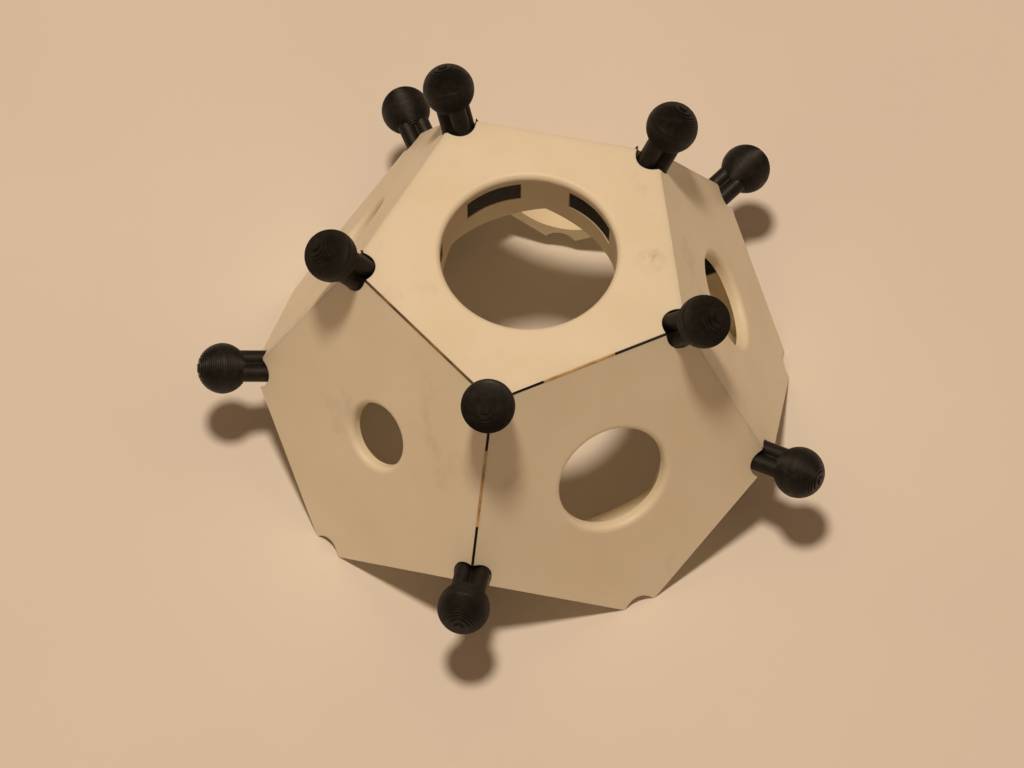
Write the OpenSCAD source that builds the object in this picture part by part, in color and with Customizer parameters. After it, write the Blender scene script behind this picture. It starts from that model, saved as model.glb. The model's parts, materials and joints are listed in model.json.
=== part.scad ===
// Knobbed dodecahedron, assembled as far as its upper half: six mitred pentagonal
// panels with round windows of different sizes, ten corner pegs, and the ten inner
// brackets that lock the panels together and hold the pegs.
// Origin: on the five-fold axis, level with the surface that the free tips stand on.

/* [Dodecahedron] */
// Edge length of the dodecahedron, measured on the outer faces
edge = 30; // [24:0.5:45]
// Gap between neighbouring panels, across the mitre
seam_gap = 0.4; // [0.3:0.05:0.8]
// How much of each free tip is worn flat where it stands
tip_flat = 0.1; // [0.05:0.05:0.4]

/* [Windows] */
// Diameter of the window in the top panel
top_window_d = 25.4; // [16:0.2:29]
// Diameter of the window in the front right panel
front_right_window_d = 16.4; // [6:0.2:24]
// Diameter of the window in the right panel
right_window_d = 14.6; // [6:0.2:24]
// Width of the back panel's frame, from its large window to the middle of an edge
back_frame_w = 7.55; // [7:0.05:12]
// Diameter of the window in the left panel
left_window_d = 13; // [6:0.2:24]
// Diameter of the window in the front left panel
front_left_window_d = 9.8; // [6:0.2:24]
// Radius of the rounded outer rim of each window
rim_r = 0.9; // [0.3:0.1:1.2]
// Diameter of the round recess behind each panel's skin
recess_d = 25.4; // [20:0.2:28]

/* [Pegs] */
// Diameter of the ball
ball_d = 7.6; // [6:0.2:10]
// Height of the ball's centre over the corner of the dodecahedron
ball_lift = 4.5; // [4:0.1:7]
// Diameter of each of the three lobes of the stem
lobe_d = 2.6; // [2:0.1:3]
// Distance of a lobe's centre from the peg's axis
lobe_offset = 1.4; // [1.2:0.1:2]
// Diameter of the round shank under the stem
shank_d = 2.8; // [2:0.1:3.2]
// Length of the shank
shank_len = 6; // [4:0.5:7.5]

/* [Brackets] */
// Thickness of the panel's skin, over the recess and over each bracket arm
skin_t = 1.8; // [1.4:0.1:2.4]
// Thickness of a bracket arm
arm_t = 3.6; // [2.6:0.1:4.4]
// Width of a bracket arm
arm_w = 8.4; // [7:0.2:10]
// Diameter of the bracket's hub
hub_d = 7.4; // [6.4:0.2:9]
// Thickness of the thin web in each seam
web_t = 0.3; // [0.2:0.05:0.5]
// Length of the web along the seam, from the corner
web_len = 9; // [5:0.5:12]

/* [Clearances] */
// Radial clearance of the peg's lobes in the corner hole
stem_clear = 0.08; // [0.05:0.01:0.2]
// Radial clearance of the shank in its socket
shank_clear = 0.06; // [0.03:0.01:0.1]
// Clearance of an arm or hub in its pocket, on every side
arm_clear = 0.1; // [0.05:0.05:0.3]

/* [Hidden] */
$fn = 64;
big = 4 * edge;                       // larger than anything it cuts
// angles of the regular dodecahedron, from +Z
corner_polar = [37.377368, 79.187683, 100.812317];  // upper ring, middle ring, free tips
side_tilt = 63.434949;                // side panel's normal
face_tilt = corner_polar[0];          // between a corner's radius and each panel's normal
edge_tilt = 69.094843;                // between a corner's radius and each seam
// distances from the centre
corner_r = 1.401259 * edge;
face_r = 1.113516 * edge;
face_corner_r = 0.850651 * edge;      // from a panel's centre to its corner
face_edge_r = 0.688191 * edge;        // from a panel's centre to the middle of its edge
mitre = 31.717474;                    // between a panel's normal and its mitred sides
lower_slope = 0.525731;               // rise of a free lower edge per length
facet_r = face_r * cos(face_tilt);    // inner facets, each square to a corner's radius

stem_reach = lobe_offset + lobe_d / 2;
hole_r = stem_reach + stem_clear;
seat_depth = skin_t / cos(face_tilt) + hole_r * tan(face_tilt);
socket_room = 0.4;                    // under the shank, in its socket
hub_floor = 0.8;                      // under the socket
hub_depth = seat_depth + shank_len + socket_room + hub_floor;
hub_cover = skin_t / cos(face_tilt) + (hub_d / 2 + arm_clear) * tan(face_tilt);
web_drop = 0.4;                       // the web's edge under the outer faces
// the centre's height: the free lower edges stand back by half the seam gap, and their
// lowest points are the horns where the corner hole crosses them, a little further out
edge_back = seam_gap / 2 / cos(mitre);
horn = hole_r / sin(edge_tilt) + edge_back * (tan(54) + 0.2);
centre_z = -corner_r * cos(corner_polar[2]) - horn * lower_slope - tip_flat;
// the lower brackets' third arm is cut as for this panel, which isn't fitted
free_arm = 2;

back_window_d = 2 * (face_edge_r - back_frame_w);
// per panel, the top one and then counter-clockwise from the front right
window_d = [top_window_d, front_right_window_d, right_window_d, back_window_d,
            left_window_d, front_left_window_d];
recess_r = recess_d / 2;
// per panel: tilt and turn about the axis; panel 0 is the top one
panel_turn = concat([[0, 54]], [for (k = [0:4]) [side_tilt, -54 + 72 * k]]);

// ---- places ----

// A frame at the panel's outer face: +Z out of the face, +X towards one corner
module at_panel(i) {
    translate([0, 0, centre_z])
        rotate([0, panel_turn[i][0], panel_turn[i][1]])
            translate([0, 0, face_r])
                children();
}

// A frame at corner k of a ring: +Z along the radius, -X towards the top of the solid
module at_corner(ring, k) {
    translate([0, 0, centre_z])
        rotate([0, corner_polar[ring], -90 + 72 * k])
            translate([0, 0, corner_r])
                children();
}

// In a corner's frame, the frame of the panel that lies in direction a: +X away from
// the corner along the panel, +Z out of the panel
module along_panel(a) {
    rotate([0, 0, a])
        rotate([0, face_tilt, 0])
            children();
}

// ---- panels ----

// Five-sided pyramid with its point at the solid's centre, drawn in a panel's frame and
// shrunk so that its sides stand back by the given distance
module panel_sector(back) {
    tip = back / sin(mitre);
    translate([0, 0, -face_r + tip])
        cylinder(h = face_r - tip, r1 = 0, r2 = (face_r - tip) * tan(mitre) / cos(36), $fn = 5);
}

// The hollow behind a panel: a flat pyramid with one side square to each corner's radius
module panel_hollow() {
    translate([0, 0, -face_r])
        rotate([0, 0, 36])
            cylinder(h = face_r, r1 = face_r / tan(face_tilt) / cos(36), r2 = 0, $fn = 5);
}

// The window with its rounded rim, and the round recess behind the skin
module window_bore(r) {
    translate([0, 0, -face_r])
        cylinder(h = face_r + 1, r = r);
    if (r < recess_r)
        translate([0, 0, -face_r])
            cylinder(h = face_r - skin_t, r = recess_r);
    rotate_extrude()
        difference() {
            translate([r - 0.01, -rim_r])
                square([rim_r + 0.01, rim_r + 1]);
            translate([r + rim_r, -rim_r])
                circle(r = rim_r);
            translate([r + rim_r, -rim_r])
                square([rim_r, rim_r + 2]);
        }
}

// Everything that a corner takes out of a panel, in the corner's frame
module corner_cut(a) {
    translate([0, 0, -corner_r + facet_r - 1])
        cylinder(h = corner_r, r = hole_r);
    translate([0, 0, -hub_depth - arm_clear])
        cylinder(h = hub_depth + arm_clear - hub_cover, r = hub_d / 2 + arm_clear);
    // the arm's pocket runs from outside the corner into the recess
    pocket_start = -2;
    pocket_end = face_corner_r - recess_r / 2;
    along_panel(a)
        translate([pocket_start, -arm_w / 2 - arm_clear, -skin_t - arm_t - 2 * arm_clear])
            cube([pocket_end - pocket_start, arm_w + 2 * arm_clear, arm_t + 2 * arm_clear]);
}

module panel(i) {
    color([0.90, 0.83, 0.70])
        difference() {
            at_panel(i)
                difference() {
                    panel_sector(seam_gap / 2);
                    panel_hollow();
                    window_bore(window_d[i] / 2);
                }
            if (i == 0)
                for (k = [0:4]) at_corner(0, k) corner_cut(180);
            else {
                at_corner(0, i - 1) corner_cut(60);
                at_corner(0, i) corner_cut(-60);
                at_corner(1, i - 1) corner_cut(120);
                at_corner(1, i) corner_cut(-120);
                rotate([0, 0, 36]) at_corner(2, i - 1) corner_cut(180);
            }
            translate([-big, -big, -big])
                cube([2 * big, 2 * big, big]);
        }
}

// ---- brackets ----

// One arm, in a corner's frame, lying in panel i in direction a
module bracket_arm(a, i) {
    reach = max(window_d[i] / 2, recess_r) + arm_clear;
    along_panel(a)
        difference() {
            translate([-arm_w / 2, -arm_w / 2, -skin_t - arm_t - arm_clear])
                cube([face_corner_r, arm_w, arm_t]);
            translate([face_corner_r, 0, -big / 2])
                cylinder(h = big, r = reach);
        }
}

// The thin web that fills the seam in direction a, from the hub outwards
module seam_web(a) {
    inner_x = shank_d / 2;
    outer_x = web_len * sin(edge_tilt);
    base_z = -hub_depth + web_t;
    rotate([90, 0, a])
        translate([0, 0, -web_t / 2])
            linear_extrude(web_t)
                polygon([[inner_x, -inner_x / tan(edge_tilt) - web_drop],
                         [outer_x, -outer_x / tan(edge_tilt) - web_drop],
                         [outer_x * 0.8, base_z],
                         [inner_x, base_z]]);
}

module bracket(arms, webs) {
    color([0.11, 0.11, 0.10])
        difference() {
            union() {
                difference() {
                    for (arm = arms) bracket_arm(arm[0], arm[1]);
                    // nothing comes nearer to any outer face than the pocket's roof
                    for (a = [0, 120, 240])
                        along_panel(a + arms[0][0])
                            translate([-big / 2, -big / 2, -skin_t - arm_clear])
                                cube(big);
                }
                for (a = webs) seam_web(a);
                translate([0, 0, -hub_depth])
                    cylinder(h = hub_depth - hub_cover - arm_clear, r = hub_d / 2);
            }
            // room for the stem, and the socket for the shank
            translate([0, 0, -seat_depth])
                cylinder(h = big, r = hole_r);
            translate([0, 0, -seat_depth - shank_len - socket_room])
                cylinder(h = big, r = shank_d / 2 + shank_clear);
        }
}

module upper_bracket(k) {
    at_corner(0, k)
        bracket([[180, 0], [60, k + 1], [-60, (k + 4) % 5 + 1]], [0, 120, -120]);
}

module lower_bracket(k) {
    at_corner(1, k)
        bracket([[120, k + 1], [-120, (k + 4) % 5 + 1], [0, free_arm]], [180]);
}

// ---- pegs ----

module peg(ring, k) {
    lobe_r = lobe_d / 2;
    color([0.14, 0.14, 0.13])
        at_corner(ring, k) {
            translate([0, 0, ball_lift])
                sphere(d = ball_d);
            // core and shank in one, with a chamfered end
            rotate_extrude()
                polygon([[0, ball_lift - ball_d / 6], [shank_d / 2, ball_lift - ball_d / 6],
                         [shank_d / 2, -seat_depth - shank_len + shank_d / 6],
                         [shank_d / 3, -seat_depth - shank_len],
                         [0, -seat_depth - shank_len]]);
            // three lobes, each over the middle of a panel
            for (a = [0, 120, 240])
                rotate([0, 0, a + (ring == 0 ? 180 : 0)])
                    translate([lobe_offset, 0, -seat_depth])
                        cylinder(h = seat_depth + ball_lift - ball_d / 4, r = lobe_r);
        }
}

panel(0);  // top_panel
panel(1);  // front_right_panel
panel(2);  // right_panel
panel(3);  // back_panel
panel(4);  // left_panel
panel(5);  // front_left_panel
upper_bracket(0);  // upper_bracket_1
upper_bracket(1);  // upper_bracket_2
upper_bracket(2);  // upper_bracket_3
upper_bracket(3);  // upper_bracket_4
upper_bracket(4);  // upper_bracket_5
lower_bracket(0);  // lower_bracket_1
lower_bracket(1);  // lower_bracket_2
lower_bracket(2);  // lower_bracket_3
lower_bracket(3);  // lower_bracket_4
lower_bracket(4);  // lower_bracket_5
peg(0, 0);  // upper_peg_1
peg(0, 1);  // upper_peg_2
peg(0, 2);  // upper_peg_3
peg(0, 3);  // upper_peg_4
peg(0, 4);  // upper_peg_5
peg(1, 0);  // lower_peg_1
peg(1, 1);  // lower_peg_2
peg(1, 2);  // lower_peg_3
peg(1, 3);  // lower_peg_4
peg(1, 4);  // lower_peg_5
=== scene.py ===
# %% [markdown]
# # A knobbed dodecahedron, put together as far as its upper half
#
# The real object is a printed puzzle. Six thick ivory pentagons, each with a round window of
# its own size, meet along mitred sides. Black brackets are hidden in the corners, and a black
# ball-headed peg stands out of each finished corner. We load the solid model of all that as a
# fixed frame, give every piece its finish, and build the pegs anew with the small steps that
# printing leaves on them.

# %% Load the frame
import json
import math
import random

import bmesh
import bpy
from mathutils import Matrix, Vector


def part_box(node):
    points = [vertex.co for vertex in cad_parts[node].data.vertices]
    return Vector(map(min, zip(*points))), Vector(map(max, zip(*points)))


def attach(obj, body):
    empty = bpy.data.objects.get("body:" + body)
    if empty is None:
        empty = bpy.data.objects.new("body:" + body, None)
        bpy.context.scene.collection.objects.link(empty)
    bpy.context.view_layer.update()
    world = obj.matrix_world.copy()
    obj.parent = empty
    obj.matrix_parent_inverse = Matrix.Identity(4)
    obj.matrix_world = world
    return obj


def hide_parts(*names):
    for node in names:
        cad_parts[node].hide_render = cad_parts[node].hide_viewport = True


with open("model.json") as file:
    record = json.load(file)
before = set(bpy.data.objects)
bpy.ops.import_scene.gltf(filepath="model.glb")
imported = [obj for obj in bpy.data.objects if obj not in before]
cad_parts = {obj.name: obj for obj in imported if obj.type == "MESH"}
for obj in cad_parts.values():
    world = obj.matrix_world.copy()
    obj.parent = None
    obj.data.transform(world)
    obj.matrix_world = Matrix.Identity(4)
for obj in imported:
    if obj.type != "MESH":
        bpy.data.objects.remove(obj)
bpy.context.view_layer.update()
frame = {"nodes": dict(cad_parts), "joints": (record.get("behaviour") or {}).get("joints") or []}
MM = 0.001

# %% [markdown]
# ## The geometry that everything hangs on
#
# A regular dodecahedron is set by one length, its edge. Each corner lies on a ray from the
# centre, and each peg slides along that ray, so the slide joints of the model already say
# where the rays point. The centre's height follows from the top of the top panel. With those
# two things we can place a piece at any corner without typing in a coordinate.

# %% Centre, corners and rays
EDGE = 30 * MM
CORNER_RADIUS = 1.401259 * EDGE
FACE_RADIUS = 1.113516 * EDGE
SKIN = 1.8 * MM             # thickness of a panel behind its face
PANEL_TO_CORNER = math.radians(37.377368)   # between a panel's normal and a corner's ray

centre = Vector((0, 0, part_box("top_panel")[1][2] - FACE_RADIUS))


def corner_frame(peg_name):
    """Matrix of a corner: origin on the corner, Z out along its ray, X down the object."""
    joint = next(j for j in frame["joints"] if j["child"] == peg_name)
    ray = Vector(joint["axis"]).normalized()
    across = Vector((0, 0, 1)).cross(ray).normalized()
    down = across.cross(ray)
    turn = Matrix((down, across, ray)).transposed().to_4x4()
    return Matrix.Translation(centre + CORNER_RADIUS * ray) @ turn


def corner_point(peg_name):
    """The corner that a peg stands on."""
    return corner_frame(peg_name).to_translation()


def corner_ray(peg_name):
    """The direction in which a peg points and slides."""
    return corner_frame(peg_name).to_3x3() @ Vector((0, 0, 1))


UPPER_PEGS = [f"upper_peg_{k}" for k in range(1, 6)]
LOWER_PEGS = [f"lower_peg_{k}" for k in range(1, 6)]
print("centre height, mm:", round(centre.z / MM, 2))

# %% [markdown]
# ## Helpers for materials
#
# Colours are easiest to choose as the hex values of a paint chart, but the renderer works in
# linear light, so one function converts them. Another adds a node with its settings and its
# links in one go, which keeps each recipe short enough to read. The rest start an empty
# material, make a colour ramp, and put a finish on a part of the solid model.

# %% Colour and node helpers
def linear(hex_colour):
    """An sRGB hex colour such as "E8D9BC" as linear red, green, blue and alpha."""
    parts = [int(hex_colour[i:i + 2], 16) / 255 for i in (0, 2, 4)]
    return [c / 12.92 if c <= 0.04045 else ((c + 0.055) / 1.055) ** 2.4 for c in parts] + [1]


def add_node(tree, kind, settings=None, **sockets):
    """A new node: settings are its properties, sockets its values or the outputs to link."""
    node = tree.nodes.new(kind)
    for name, value in (settings or {}).items():
        setattr(node, name, value)
    for name, value in sockets.items():
        key = int(name[1:]) if name[0] == "_" and name[1:].isdigit() else name.replace("_", " ")
        if isinstance(value, bpy.types.NodeSocket):
            tree.links.new(value, node.inputs[key])
        else:
            node.inputs[key].default_value = value
    return node


def new_material(name):
    """An empty node material with a Principled shader; returns material, tree and shader."""
    material = bpy.data.materials.new(name)
    material.use_nodes = True
    tree = material.node_tree
    tree.nodes.clear()
    shader = add_node(tree, "ShaderNodeBsdfPrincipled")
    add_node(tree, "ShaderNodeOutputMaterial", Surface=shader.outputs["BSDF"])
    return material, tree, shader


def ramp(tree, factor, stops):
    """Colour of a ramp whose stops are (position, grey or hex) pairs."""
    node = add_node(tree, "ShaderNodeValToRGB", Fac=factor)
    while len(node.color_ramp.elements) < len(stops):
        node.color_ramp.elements.new(0.5)
    for element, (position, colour) in zip(node.color_ramp.elements, stops):
        element.position = position
        element.color = linear(colour) if isinstance(colour, str) else (colour,) * 3 + (1,)
    return node.outputs["Color"]


def dress(node_name, finish):
    """Gives a part of the solid model this finish and no other."""
    materials = frame["nodes"][node_name].data.materials
    materials.clear()
    materials.append(finish)


print("linear mid grey:", round(linear("808080")[0], 3))

# %% [markdown]
# ## Ivory printed plastic for the panels
#
# The panels are printed in an ivory plastic. Fine layers run parallel to each panel's face, so
# they show on the walls of the windows and on the mitred sides, while the face itself carries
# the much fainter rows that the nozzle leaves. Handling adds soft grey smudges. The plastic is
# slightly cloudy: light enters it and comes out again warmer, which turns the narrow seams
# amber. Inside the shell that warmth and the light bounced about there are painted in, as
# painted bounce light in a warmer inner ivory. Each panel needs its own material, because its
# layers follow its own tilt.

# %% Material: ivory printed plastic
LAYER = 0.35 * MM     # really 0.2 mm, drawn coarser so that it shows
WAVE_TURN = math.tau / 20     # the wave texture's period at scale 1
RELIEF = 0.03 * MM    # height of the fine relief on every surface
GRAIN = 0.5 * MM
STREAK = 2 * MM
PAINTED_BOUNCE_DEPTH = 2.5 * MM     # under the face, where the painted bounce light of the warmer inner colour begins to fade
PALE_DEPTH = 0.5 * MM     # under the face, where it has given way to the outer colour
PLASTIC_IOR = 1.46


def near(tree, place, point, reach):
    """Factor that is 1 at a point of the object and falls to 0 at the given distance."""
    away = add_node(tree, "ShaderNodeVectorMath", {"operation": "DISTANCE"}, _0=place, _1=point)
    return add_node(tree, "ShaderNodeMapRange", _0=away.outputs["Value"], _1=0.0, _2=reach,
                    _3=1.0, _4=0.0).outputs["Result"]


def ivory_plastic(name, normal, smudge_seed, rubs=(), glue_shine_spots=()):
    """Printed ivory plastic with its layers square to the panel's normal.

    Rubs are places where pencil has been rubbed out; glue_shine_spots are small spots of glue,
    their shine painted as a whiter colour, a painted highlight; each is a point and the distance
    that it reaches.
    """
    material, tree, shader = new_material(name)
    place = add_node(tree, "ShaderNodeTexCoord").outputs["Object"]
    # turn the pattern so that its Z runs along the panel's normal
    tilt = Vector(normal).rotation_difference(Vector((0, 0, 1))).to_euler()
    turned = add_node(tree, "ShaderNodeMapping", Vector=place, Rotation=tilt).outputs["Vector"]

    # colour: a pale ivory with a little cloudiness; deeper in, a warmer ivory is painted bounce
    # light
    cloud = add_node(tree, "ShaderNodeTexNoise", Vector=place, Scale=90, Detail=4)
    outside = ramp(tree, cloud.outputs["Fac"],
                   [(0.30, "EFE8D3"), (0.50, "F3ECD8"), (0.72, "F6F0DF")])
    from_centre = add_node(tree, "ShaderNodeVectorMath", {"operation": "SUBTRACT"},
                           _0=place, _1=centre).outputs["Vector"]
    height = add_node(tree, "ShaderNodeVectorMath", {"operation": "DOT_PRODUCT"},
                      _0=from_centre, _1=normal).outputs["Value"]
    outer = add_node(tree, "ShaderNodeMapRange", _0=height, _1=FACE_RADIUS - PAINTED_BOUNCE_DEPTH,
                     _2=FACE_RADIUS - PALE_DEPTH, _3=0.0, _4=1.0).outputs["Result"]
    # painted bounce light: surfaces deep inside the shell take the warmer F5EBD0 in place of the
    # light bounced about and passed through the plastic there
    ivory = add_node(tree, "ShaderNodeMix", {"data_type": "RGBA"}, _0=outer,
                     _6=linear("F5EBD0"), _7=outside).outputs[2]
    shifted = add_node(tree, "ShaderNodeMapping", Vector=turned,
                       Location=(smudge_seed, 2 * smudge_seed, 0), Scale=(1, 0.6, 1))
    rubbed = add_node(tree, "ShaderNodeTexNoise", Vector=shifted.outputs["Vector"],
                      Scale=75, Detail=6, Roughness=0.7)
    smudge = ramp(tree, rubbed.outputs["Fac"], [(0.60, 0.0), (0.74, 0.22)])
    streaks = add_node(tree, "ShaderNodeTexNoise", Vector=shifted.outputs["Vector"],
                       Scale=1 / STREAK, Detail=5, Roughness=0.75)
    streaked = ramp(tree, streaks.outputs["Fac"], [(0.40, 0.0), (0.66, 0.7)])
    for point, reach in rubs:
        graphite = add_node(tree, "ShaderNodeMath", {"operation": "MULTIPLY"}, _0=streaked,
                            _1=near(tree, place, point, reach)).outputs["Value"]
        smudge = add_node(tree, "ShaderNodeMath", {"operation": "MAXIMUM"}, _0=smudge,
                          _1=graphite).outputs["Value"]
    colour = add_node(tree, "ShaderNodeMix", {"data_type": "RGBA", "blend_type": "MULTIPLY"},
                      _0=smudge, _6=ivory, _7=linear("A39B8E")).outputs[2]
    # painted highlight: a whiter colour stands in for the shine of the glue, with no change of
    # roughness
    for point, reach in glue_shine_spots:
        painted_shine = add_node(tree, "ShaderNodeMath", {"operation": "MULTIPLY"}, _0=streaked,
                        _1=near(tree, place, point, reach)).outputs["Value"]
        colour = add_node(tree, "ShaderNodeMix", {"data_type": "RGBA"}, _0=painted_shine, _6=colour,
                          _7=linear("FFFBEE")).outputs[2]

    # surface: layers along the normal, rows across the face, and a fine grain
    layers = add_node(tree, "ShaderNodeTexWave",
                      {"wave_type": "BANDS", "bands_direction": "Z"},
                      Vector=turned, Scale=WAVE_TURN / LAYER, Distortion=0.3)
    grain = add_node(tree, "ShaderNodeTexNoise", Vector=place, Scale=1 / GRAIN, Detail=3)
    layer_bump = add_node(tree, "ShaderNodeBump", Strength=0.25, Distance=RELIEF,
                          Height=layers.outputs["Fac"])
    grain_bump = add_node(tree, "ShaderNodeBump", Strength=0.35, Distance=RELIEF,
                          Height=grain.outputs["Fac"], Normal=layer_bump.outputs["Normal"])
    gloss = ramp(tree, rubbed.outputs["Fac"], [(0.35, 0.42), (0.70, 0.56)])

    tree.links.new(colour, shader.inputs["Base Color"])
    tree.links.new(gloss, shader.inputs["Roughness"])
    tree.links.new(grain_bump.outputs["Normal"], shader.inputs["Normal"])
    shader.inputs["IOR"].default_value = PLASTIC_IOR
    shader.inputs["Subsurface Weight"].default_value = 0.2
    shader.inputs["Subsurface Radius"].default_value = (1.0, 0.62, 0.34)
    shader.inputs["Subsurface Scale"].default_value = 1.2 * MM
    return material


print("layers across a panel's skin:", round(SKIN / LAYER, 1))

# %% Dress the six panels
SIDE_TILT = math.radians(63.434949)     # between the top panel's normal and a side panel's
FIRST_TURN = -54                        # degrees round Z to the first side panel
panel_normals = {"top_panel": Vector((0, 0, 1))}
side_panels = ["front_right_panel", "right_panel", "back_panel", "left_panel",
               "front_left_panel"]
for k, panel in enumerate(side_panels):
    turn = math.radians(FIRST_TURN + 72 * k)
    panel_normals[panel] = Vector((math.sin(SIDE_TILT) * math.cos(turn),
                                   math.sin(SIDE_TILT) * math.sin(turn),
                                   math.cos(SIDE_TILT)))

# where pencil was rubbed out, mostly beside the front seam, and one drip of glue whose shine is
# a painted highlight
front_corner = corner_point("upper_peg_1")
seam_down = (corner_point("lower_peg_1") - front_corner).normalized()
beside_seam = Vector((5.5, 0, 0)) * MM
top_middle = centre + FACE_RADIUS * panel_normals["top_panel"]
right_middle = centre + FACE_RADIUS * panel_normals["right_panel"]
rubs = {
    "front_left_panel": [(front_corner + 12.5 * MM * seam_down - beside_seam, 4 * MM)],
    "front_right_panel": [(front_corner + 13.5 * MM * seam_down + beside_seam, 4 * MM)],
    "top_panel": [(top_middle + Vector((17.5, 2, 0)) * MM, 2.5 * MM)],
    "right_panel": [(right_middle + Vector((-4.5, -8, 9.5)) * MM, 3.5 * MM)],
}
glue_shine_spots = {"top_panel": [(corner_point("upper_peg_4").lerp(top_middle, 0.24), 2.2 * MM)]}

for number, (panel, normal) in enumerate(panel_normals.items()):
    dress(panel, ivory_plastic(f"ivory printed plastic, {panel}", normal, 0.11 * number,
                               rubs.get(panel, ()), glue_shine_spots.get(panel, ())))
print("dressed panels:", len(panel_normals))

# %% [markdown]
# ## Black printed plastic for the brackets and the pegs
#
# The small parts are printed in a black plastic with little gloss. On curved parts the layers
# end in tiny steps that catch the light, so the black reads as a dark warm grey where it faces
# the lamp. A fine noise in roughness breaks up the highlight the way real layers do.

# %% Material: black printed plastic
DUST = 0.8 * MM
DUST_RELIEF = 0.04 * MM


def black_plastic(name, layer_axis, seed):
    """Printed black plastic with its layers square to layer_axis."""
    material, tree, shader = new_material(name)
    place = add_node(tree, "ShaderNodeTexCoord").outputs["Object"]
    tilt = Vector(layer_axis).rotation_difference(Vector((0, 0, 1))).to_euler()
    turned = add_node(tree, "ShaderNodeMapping", Vector=place, Rotation=tilt,
                      Location=(seed, seed, 0)).outputs["Vector"]
    layers = add_node(tree, "ShaderNodeTexWave",
                      {"wave_type": "BANDS", "bands_direction": "Z"},
                      Vector=turned, Scale=WAVE_TURN / LAYER, Distortion=0.6, Detail=2)
    dust = add_node(tree, "ShaderNodeTexNoise", Vector=turned, Scale=1 / DUST, Detail=4)
    colour = ramp(tree, dust.outputs["Fac"],
                  [(0.30, "111110"), (0.55, "1B1A18"), (0.80, "2A2723")])
    gloss = ramp(tree, dust.outputs["Fac"], [(0.3, 0.42), (0.7, 0.62)])
    layer_bump = add_node(tree, "ShaderNodeBump", Strength=0.15, Distance=RELIEF,
                          Height=layers.outputs["Fac"])
    dust_bump = add_node(tree, "ShaderNodeBump", Strength=0.4, Distance=DUST_RELIEF,
                         Height=dust.outputs["Fac"], Normal=layer_bump.outputs["Normal"])
    tree.links.new(colour, shader.inputs["Base Color"])
    tree.links.new(gloss, shader.inputs["Roughness"])
    tree.links.new(dust_bump.outputs["Normal"], shader.inputs["Normal"])
    shader.inputs["IOR"].default_value = PLASTIC_IOR
    shader.inputs["Specular IOR Level"].default_value = 0.35
    return material


print("black, linear:", round(linear("1B1A18")[0], 4))

# %% Dress the brackets
for peg in UPPER_PEGS + LOWER_PEGS:
    bracket = peg.replace("peg", "bracket")
    dress(bracket, black_plastic(f"black printed plastic, {bracket}", corner_ray(peg), 0.07))
print("dressed brackets:", len(UPPER_PEGS + LOWER_PEGS))

# %% [markdown]
# ## The pegs
#
# A peg is printed standing up, so its ball is a stack of thin discs. We make that real: the
# ball's outline is a quarter of steps on each side of the equator, spun once round the ray.
# The stem has three lobes, one over each panel, with slits between them in line with the
# seams. Its outline is a circle whose vertices move out or in by a formula for three
# overlapping circles, then it is extruded upwards into the ball.

# %% Peg sizes
BALL_RADIUS = 3.8 * MM
BALL_LIFT = 4.5 * MM
LOBE_RADIUS = 1.3 * MM
LOBE_OFFSET = 1.4 * MM
CORE_RADIUS = 1.4 * MM
SHANK_LENGTH = 6 * MM
STEM_REACH = LOBE_OFFSET + LOBE_RADIUS
STEM_PLAY = 0.08 * MM      # between the stem and the corner's hole
STEM_SINK = 1.9 * MM       # how far the stem ends below the ball's centre
SHANK_BEVEL = 0.45 * MM
SEAT = -(SKIN / math.cos(PANEL_TO_CORNER)
         + (STEM_REACH + STEM_PLAY) * math.tan(PANEL_TO_CORNER))
BALL_LAYER = 0.25 * MM
LIP = 0.008 * MM           # how far a disc's rim draws in at its edges
POLE_FLAT = 0.06 * MM      # how far the first and last disc lie inside the ball's poles
CREASE = math.radians(40)  # edges sharper than this stay sharp in the shading
print("stem seat, mm:", round(SEAT / MM, 2))


# %% The ball, a stack of printed discs
def add_ball(mesh):
    """A stepped ball round Z, its centre at BALL_LIFT."""
    top = BALL_RADIUS - POLE_FLAT
    count = round(2 * top / BALL_LAYER)
    layer = 2 * top / count
    rim = []
    for i in range(count):
        low = -top + i * layer
        outer = max(abs(low), abs(low + layer))
        radius = math.sqrt(BALL_RADIUS ** 2 - outer ** 2)
        rim += [(radius - LIP, low + layer * 0.08), (radius, low + layer * 0.35),
                (radius, low + layer * 0.65), (radius - LIP, low + layer * 0.92)]
    points = [(0, -top)] + rim + [(0, top)]
    line = [mesh.verts.new((r, 0, BALL_LIFT + z)) for r, z in points]
    edges = [mesh.edges.new(pair) for pair in zip(line, line[1:])]
    bmesh.ops.spin(mesh, geom=line + edges, axis=(0, 0, 1), cent=(0, 0, 0), dvec=(0, 0, 0),
                   angle=math.tau, steps=64, use_merge=True, use_duplicate=False)
    bmesh.ops.remove_doubles(mesh, verts=mesh.verts[:], dist=0.001 * MM)


print("discs in a ball:", round(2 * (BALL_RADIUS - POLE_FLAT) / BALL_LAYER))

# %% The stem, three lobes round a core
def lobe_outline(angle):
    """Distance from the peg's axis to the stem's outline in this direction."""
    aside = (angle + math.pi / 3) % (math.tau / 3) - math.pi / 3
    inside = LOBE_RADIUS ** 2 - (LOBE_OFFSET * math.sin(aside)) ** 2
    if inside <= 0:
        return CORE_RADIUS
    return max(CORE_RADIUS, LOBE_OFFSET * math.cos(aside) + math.sqrt(inside))


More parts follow.
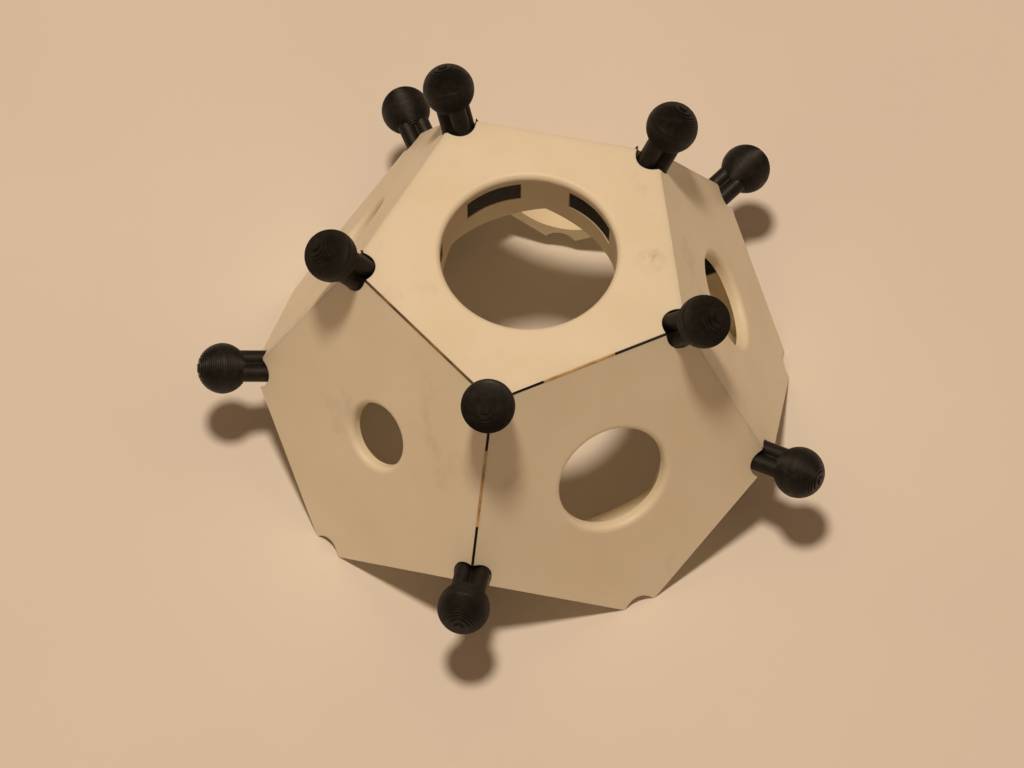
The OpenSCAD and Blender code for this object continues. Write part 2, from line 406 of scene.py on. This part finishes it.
def add_stem(mesh, first_lobe):
    """The lobed stem from the seat into the ball, and the round shank below it."""
    made = bmesh.ops.create_circle(mesh, cap_ends=True, cap_tris=False, segments=120,
                                   radius=1, matrix=Matrix.Translation((0, 0, SEAT)))
    for vert in made["verts"]:
        angle = math.atan2(vert.co.y, vert.co.x)
        reach = lobe_outline(angle - first_lobe)
        vert.co.x, vert.co.y = reach * math.cos(angle), reach * math.sin(angle)
    bottom = [f for f in mesh.faces if all(v in made["verts"] for v in f.verts)]
    up = bmesh.ops.extrude_face_region(mesh, geom=bottom, use_keep_orig=True)
    top = [v for v in up["geom"] if isinstance(v, bmesh.types.BMVert)]
    bmesh.ops.translate(mesh, verts=top, vec=(0, 0, BALL_LIFT - STEM_SINK - SEAT))
    half_way = SEAT - SHANK_LENGTH / 2
    shank = bmesh.ops.create_cone(mesh, cap_ends=True, segments=48, radius1=CORE_RADIUS,
                                  radius2=CORE_RADIUS, depth=SHANK_LENGTH,
                                  matrix=Matrix.Translation((0, 0, half_way)))
    tip = [e for e in mesh.edges
           if all(v in shank["verts"] and v.co.z < half_way for v in e.verts)]
    bmesh.ops.bevel(mesh, geom=tip, offset=SHANK_BEVEL, segments=2, profile=0.5,
                    affect="EDGES", material=-1)


print("stem outline over a lobe and between two, mm:",
      round(lobe_outline(0) / MM, 2), round(lobe_outline(math.pi / 3) / MM, 2))

# %% Build, place and finish the ten pegs
def make_peg(name, first_lobe, seed):
    """One peg in its place, with one lobe of its stem in this direction."""
    parts = []
    for build in (add_ball, lambda m: add_stem(m, first_lobe)):
        mesh = bmesh.new()
        build(mesh)
        bmesh.ops.recalc_face_normals(mesh, faces=mesh.faces[:])
        mesh.transform(corner_frame(name))
        data = bpy.data.meshes.new(f"{name}_part")
        mesh.to_mesh(data)
        mesh.free()
        parts.append(data)
    whole = bmesh.new()
    for data in parts:
        whole.from_mesh(data)
        bpy.data.meshes.remove(data)
    data = bpy.data.meshes.new(f"{name}_printed")
    whole.to_mesh(data)
    whole.free()
    data.shade_smooth()
    data.set_sharp_from_angle(angle=CREASE)
    peg = bpy.data.objects.new(f"{name}_printed", data)
    bpy.context.scene.collection.objects.link(peg)
    data.materials.append(
        black_plastic(f"black printed plastic, {name}", corner_ray(name), seed))
    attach(peg, name)
    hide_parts(name)
    return peg


for number, name in enumerate(UPPER_PEGS + LOWER_PEGS):
    lobe = math.pi if name in UPPER_PEGS else 0
    peg = make_peg(name, lobe, 0.013 * number)
print("pegs:", number + 1, "faces in one:", len(peg.data.polygons))

# %% [markdown]
# ## What shows in the seams
#
# The panels sit loosely, so their seams differ. Three seams near the front stand open: light
# creeps along the cloudy plastic and the slit glows amber, and near the corners the black
# webs of the brackets fill it. A renderer would need very many bounces for that glow, so a
# strip of painted light lies between the lips instead: painted amber glow in two of them, and
# painted brown shade in the third. The other seams are pressed shut, and an ivory strip closes
# them almost flush, a little darker than the faces as painted faint shade of the closed line.
# Next to each peg a web ends in a small sharp burr. Each seam is found from its two corners,
# and its outward direction from the centre to its middle.

# %% Seams from pairs of corners
seams = [(UPPER_PEGS[k], UPPER_PEGS[(k + 1) % 5]) for k in range(5)]
seams += list(zip(UPPER_PEGS, LOWER_PEGS))
SEAM_GAP = 0.4 * MM
HALF_EDGE_ANGLE = math.radians(31.717474)   # between a seam's outward direction and a panel's


def seam_frame(start, end):
    """Matrix of a seam: origin at its start corner, X along it, Z outwards."""
    first, last = corner_point(start), corner_point(end)
    along = (last - first).normalized()
    out = ((first + last) / 2 - centre).normalized()
    turn = Matrix((along, out.cross(along), out)).transposed().to_4x4()
    return Matrix.Translation(first) @ turn


print("seams:", len(seams))


# %% Material: painted glow and shade in a slit
BLOTCH = 3 * MM


def slit_painted_light(name, stops):
    """Painted light for a slit: blotches of the given stops paint the glow and the shade deep in
    it.
    """
    material, tree, shader = new_material(name)
    place = add_node(tree, "ShaderNodeTexCoord").outputs["Object"]
    blotch = add_node(tree, "ShaderNodeTexNoise", Vector=place, Scale=1 / BLOTCH, Detail=3)
    colour = ramp(tree, blotch.outputs["Fac"], stops)
    tree.links.new(colour, shader.inputs["Base Color"])
    shader.inputs["Roughness"].default_value = 0.6
    shader.inputs["IOR"].default_value = PLASTIC_IOR
    return material


print("blotches along a seam:", round(EDGE / BLOTCH))


# %% Strips between the lips
STRIP_WIDTH = 0.95 * SEAM_GAP
STRIP_BOTTOM = -0.38 * MM
HOLE = 3.1 * MM          # along a seam, where the corner's hole ends
WEB = 8 * MM             # where the web beside it ends
LOW_WEB = 9.5 * MM       # the same at the foot of the front seam
LONG_WEB = 10.9 * MM     # the same for the one web that reaches further


def finished_piece(name, mesh, material, body):
    """Turns a finished bmesh into a piece that rides on a body."""
    data = bpy.data.meshes.new(name)
    mesh.to_mesh(data)
    mesh.free()
    data.materials.append(material)
    piece = bpy.data.objects.new(name, data)
    bpy.context.scene.collection.objects.link(piece)
    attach(piece, body)
    return piece


def add_strip(mesh, place, first, last, sink):
    """A strip along a seam from first to last, with a roofed top this far under the faces."""
    half = STRIP_WIDTH / 2
    slope = math.tan(HALF_EDGE_ANGLE)
    outline = [(-half, -half * slope - sink), (0, -sink), (half, -half * slope - sink),
               (half, STRIP_BOTTOM), (-half, STRIP_BOTTOM)]
    verts = [mesh.verts.new((first, y, z)) for y, z in outline]
    end = mesh.faces.new(verts)
    swept = bmesh.ops.extrude_face_region(mesh, geom=[end], use_keep_orig=True)
    far = [v for v in swept["geom"] if isinstance(v, bmesh.types.BMVert)]
    bmesh.ops.translate(mesh, verts=far, vec=(last - first, 0, 0))
    bmesh.ops.transform(mesh, verts=verts + far, matrix=place)


# painted glow: the amber stands in for light that passes through the cloudy plastic and bounces
# in the open slits
amber = slit_painted_light("ivory plastic, amber painted glow in the slit",
                     [(0.32, "A8854E"), (0.50, "D0A96A"), (0.68, "E2C48C")])
# painted shade: the brown stands in for the shade deep in the narrow open seam
painted_slit_shade = slit_painted_light("ivory plastic, painted brown shade in the slit",
                     [(0.32, "4E3B20"), (0.50, "7A5C34"), (0.68, "A5814C")])
# painted faint shade: the closed lips are a little darker than the faces to show the shade of
# the seam line
shut = slit_painted_light("ivory plastic, pressed lips, painted faint shade",
                    [(0.30, "E4DCC6"), (0.50, "EAE3CE"), (0.72, "EFE8D6")])
open_seams = {
    ("upper_peg_5", "upper_peg_1"): (painted_slit_shade, HOLE, EDGE - HOLE, 0.05 * MM),
    ("upper_peg_1", "upper_peg_2"): (amber, WEB, EDGE - LONG_WEB - 0.1 * MM, 0.03 * MM),
    ("upper_peg_1", "lower_peg_1"): (amber, WEB, EDGE - LOW_WEB, 0.03 * MM),
}
for number, (start, end) in enumerate(seams, 1):
    finish, first, last, sink = open_seams.get(
        (start, end), (shut, HOLE, EDGE - HOLE, 0.01 * MM))
    strip = bmesh.new()
    add_strip(strip, seam_frame(start, end), first, last, sink)
    bmesh.ops.recalc_face_normals(strip, faces=strip.faces[:])
    finished_piece(f"seam_strip_{number}", strip, finish, "shell")
print("strips:", number)

# %% Burrs where the webs end, and one web that reaches further
BURR_FOOT = 0.42 * MM
BURR_TIP = 0.05 * MM
BURR_ROOT = 0.5 * MM     # the part of a burr that is sunk in the seam
BURR_LEAN = 0.35         # radians, away from the peg
BURR_SQUASH = Matrix.Diagonal((1, 0.4, 1, 1))
burr_black = black_plastic("black printed plastic, burrs", (0, 0, 1), 0.2)
random.seed(7)
burrs = bmesh.new()
for start, end in seams:
    place = seam_frame(start, end)
    for foot, side in ((HOLE, -1), (EDGE - HOLE, 1)):
        height = random.uniform(0.25, 0.6) * MM
        spike = bmesh.ops.create_cone(burrs, cap_ends=True, segments=5, radius1=BURR_FOOT,
                                      radius2=BURR_TIP, depth=height + BURR_ROOT)["verts"]
        middle = Matrix.Translation((foot, 0, (height - BURR_ROOT) / 2))
        lean = Matrix.Rotation(side * BURR_LEAN, 4, "Y")
        bmesh.ops.transform(burrs, verts=spike, matrix=place @ middle @ lean @ BURR_SQUASH)
add_strip(burrs, seam_frame("upper_peg_1", "upper_peg_2"), EDGE - LONG_WEB, EDGE - HOLE,
          0.04 * MM)
bmesh.ops.recalc_face_normals(burrs, faces=burrs.faces[:])
finished_piece("web_burrs", burrs, burr_black, "shell")
print("burrs:", 2 * len(seams))

# %% [markdown]
# ## The floor and the light
#
# The object stands on a plain pale sheet. One warm lamp hangs almost straight above it, so the
# top panel is the brightest face, and each ball drops a soft round shadow close beside it. A
# dim even surround fills the shadows.

# %% Floor
FLOOR_HALF = 1.5     # metres, far enough to fill the view


def pale_sheet():
    """A smooth pale sheet with the faintest unevenness."""
    material, tree, shader = new_material("pale matt sheet")
    place = add_node(tree, "ShaderNodeTexCoord").outputs["Object"]
    fibre = add_node(tree, "ShaderNodeTexNoise", Vector=place, Scale=25, Detail=3)
    colour = ramp(tree, fibre.outputs["Fac"], [(0.3, "EFECE7"), (0.7, "F2EFEA")])
    tree.links.new(colour, shader.inputs["Base Color"])
    shader.inputs["Roughness"].default_value = 0.85
    return material


floor_mesh = bmesh.new()
bmesh.ops.create_grid(floor_mesh, x_segments=2, y_segments=2, size=FLOOR_HALF)
floor_data = bpy.data.meshes.new("floor")
floor_mesh.to_mesh(floor_data)
floor_mesh.free()
floor = bpy.data.objects.new("floor", floor_data)
bpy.context.scene.collection.objects.link(floor)
floor_data.materials.append(pale_sheet())
print("floor, m across:", 2 * FLOOR_HALF)

# %% Lamp and surround
LAMP_HEIGHT = 0.83                # metres
LAMP_ASIDE = (-0.080, 0.029)      # its place across, as parts of its height
LAMP_SIZE = 0.12
LAMP_POWER = 4.05                 # watts
SURROUND = 0.185                  # strength of the even light from all sides
lamp_data = bpy.data.lights.new("lamp", "AREA")
lamp_data.shape = "DISK"
lamp_data.size = LAMP_SIZE
lamp_data.energy = LAMP_POWER
lamp_data.color = linear("FFE5C7")[:3]
lamp = bpy.data.objects.new("lamp", lamp_data)
lamp.location = Vector((*LAMP_ASIDE, 1)) * LAMP_HEIGHT
lamp.rotation_euler = (-lamp.location).to_track_quat("-Z", "Y").to_euler()
bpy.context.scene.collection.objects.link(lamp)

world = bpy.data.worlds.new("surround")
world.use_nodes = True
background = world.node_tree.nodes["Background"]
background.inputs["Color"].default_value = linear("FFC99A")
background.inputs["Strength"].default_value = SURROUND
bpy.context.scene.world = world
print("lamp, degrees off the vertical:",
      round(math.degrees(lamp.location.angle(Vector((0, 0, 1)))), 1))

# %% [markdown]
# ## The camera
#
# A long lens looks down from the front and a little from the right, about half a metre away.
# Its place and turn were fitted to the corners of the panels. Colours go to the picture as
# they are, without a film curve, so a chosen hex value can be compared directly.

# %% Camera
CAMERA_PLACE = (0.0484, -0.2526, 0.4437)
CAMERA_TURN = (30.182, -0.167, 11.637)     # degrees
LENS = 117.4                               # millimetres, on a sensor 36 wide
camera_data = bpy.data.cameras.new("camera")
camera_data.sensor_width = 36
camera_data.lens = LENS
camera = bpy.data.objects.new("camera", camera_data)
camera.location = CAMERA_PLACE
camera.rotation_euler = [math.radians(angle) for angle in CAMERA_TURN]
bpy.context.scene.collection.objects.link(camera)
bpy.context.scene.camera = camera
bpy.context.scene.view_settings.view_transform = "Standard"
print("camera to centre, mm:", round((camera.location - centre).length / MM))

# %% Finish
bpy.context.view_layer.update()
